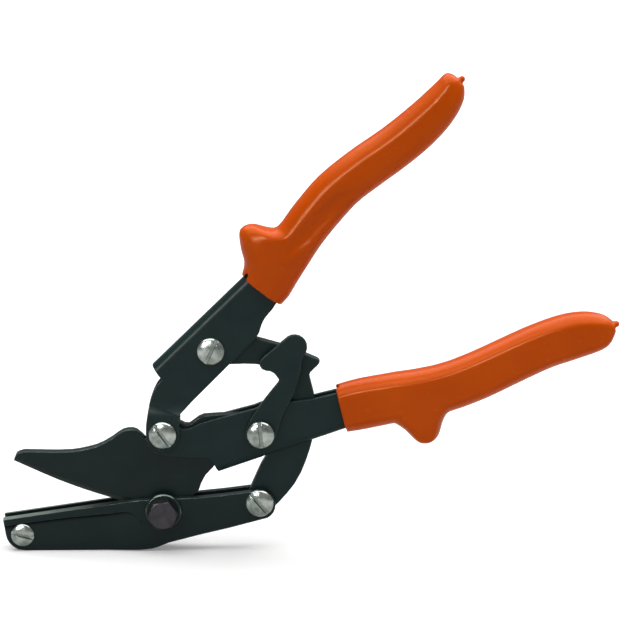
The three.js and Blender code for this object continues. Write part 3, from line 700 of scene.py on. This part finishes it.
def softness(piece, lean):
    """How much each vertex may be softened: hardly at the nib and at the mouth's thin wall."""
    along = (math.cos(math.radians(lean)), math.sin(math.radians(lean)))
    reach = [v.co.x * along[0] + v.co.z * along[1] for v in piece.data.vertices]
    mouth = min(reach)
    nib = nib_end(piece)
    group = piece.vertex_groups.new(name="softened")
    for vertex, value in zip(piece.data.vertices, reach):
        from_mouth = (value - mouth - MOUTH["firm"]) / MOUTH["blend"]
        from_nib = ((vertex.co - nib).length - NIB["firm"]) / NIB["blend"]
        share = min(1.0, max(MOUTH["least"], from_mouth), max(NIB["least"], from_nib))
        group.add([vertex.index], share, "REPLACE")
    return group.name


def moulded(node, lean, nib_slope):
    """The grip as one fine, soft-edged skin. Lean is the sleeve's own slope at its mouth."""
    piece = clean_copy(node)
    stout_nib(piece, nib_slope)
    remesh = piece.modifiers.new("skin", "REMESH")
    remesh.mode = "VOXEL"
    remesh.voxel_size = GRIP_VOXEL
    settled(piece)
    soft = piece.modifiers.new("soft", "SMOOTH")
    soft.factor = 0.5
    soft.iterations = GRIP_SMOOTHING
    soft.vertex_group = softness(piece, lean)
    settled(piece)
    piece.vertex_groups.clear()
    piece.data.materials.clear()
    piece.data.materials.append(FINISHES[SLOT_OF[node]])
    smooth_shaded(piece.data)
    return stand_for(piece, node)


for name, slopes in GRIPS.items():
    moulded(name, slopes["mouth"], slopes["nib"])

# ---- studio -------------------------------------------------------------------------------------


def floor():
    """A pale floor. To the snips it gives back less light than it shows to the eye."""
    mesh = bpy.data.meshes.new("floor")
    reach = 8.0
    corners = [(-reach, -reach), (reach, -reach), (reach, reach), (-reach, reach)]
    mesh.from_pydata([(x, y, FLOOR_Z) for x, y in corners], [], [(0, 1, 2, 3)])
    s = Shader("floor")
    seen = s.add("ShaderNodeLightPath").outputs["Is Camera Ray"]
    away = s.add("ShaderNodeVectorMath", operation="LENGTH")
    s.link(s.position, away.inputs[0])
    glow = s.ranged(away.outputs["Value"], 0.4, 2.4, 0.22, 0.82)
    s.set(Base_Color=s.mixed(seen, (0.48, 0.48, 0.48, 1), (0.9, 0.9, 0.9, 1)), Roughness=0.9)
    s.set(Emission_Color=(1, 1, 1, 1), Emission_Strength=s.maths("MULTIPLY", seen, glow))
    s.set(Specular_IOR_Level=0.1)
    mesh.materials.append(s.material)
    linked("floor", mesh)


def softbox(name, where, aim, wide, high, watts):
    lamp = bpy.data.lights.new(name, "AREA")
    lamp.shape = "RECTANGLE"
    lamp.size = wide
    lamp.size_y = high
    lamp.energy = watts
    light = bpy.data.objects.new(name, lamp)
    light.location = where
    light.rotation_mode = "QUATERNION"
    light.rotation_quaternion = (Vector(aim) - Vector(where)).to_track_quat("-Z", "Y")
    bpy.context.scene.collection.objects.link(light)
    return light


def studio():
    """Soft light from above and behind. The two small lamps in front make highlights only."""
    middle = (cad_low + cad_high) / 2
    over = middle + Vector((0, 0.4, 0))
    softbox("overhead", middle + Vector((0, 0.4, 1.6)), over, 3.0, 3.0, 60.0)
    ridge_light = middle + Vector((-0.25, -0.85, 0.467)) * 1.3
    softbox("ridge_light", ridge_light, middle, 0.3, 0.3, 5.0).visible_diffuse = False
    fold_light = middle + Vector((-0.5, -0.8, 0.3)) * 1.3
    softbox("fold_light", fold_light, middle, 0.36, 0.36, 5.5).visible_diffuse = False
    softbox("rear_fill", middle + Vector((0.8, 1.4, 0.8)), middle, 0.8, 0.8, 2.0)
    world = bpy.data.worlds.new("world")
    world.use_nodes = True
    tree = world.node_tree
    background = tree.nodes["Background"]
    path = tree.nodes.new("ShaderNodeLightPath")
    mix = tree.nodes.new("ShaderNodeMix")
    mix.data_type = "RGBA"
    mix.inputs["A"].default_value = (0.2, 0.2, 0.2, 1)
    mix.inputs["B"].default_value = (1, 1, 1, 1)
    tree.links.new(path.outputs["Is Camera Ray"], mix.inputs["Factor"])
    tree.links.new(mix.outputs["Result"], background.inputs["Color"])
    bpy.context.scene.world = world


def camera():
    """The eye faces the snips' front squarely, from a little above them."""
    target = (cad_low + cad_high) / 2 + AIM
    target.y = MIDDLE_Y
    back = Vector((0, -math.cos(CAMERA["elevation"]), math.sin(CAMERA["elevation"])))
    data = bpy.data.cameras.new("camera")
    data.lens = CAMERA["lens"]
    data.sensor_width = CAMERA["sensor"]
    data.clip_start = 0.05
    data.clip_end = 50
    eye = bpy.data.objects.new("camera", data)
    eye.location = target + back * CAMERA["distance"]
    eye.rotation_mode = "QUATERNION"
    eye.rotation_quaternion = (-back).to_track_quat("-Z", "Y")
    bpy.context.scene.collection.objects.link(eye)
    bpy.context.scene.camera = eye


floor()
studio()
camera()
bpy.context.scene.view_settings.view_transform = "Standard"
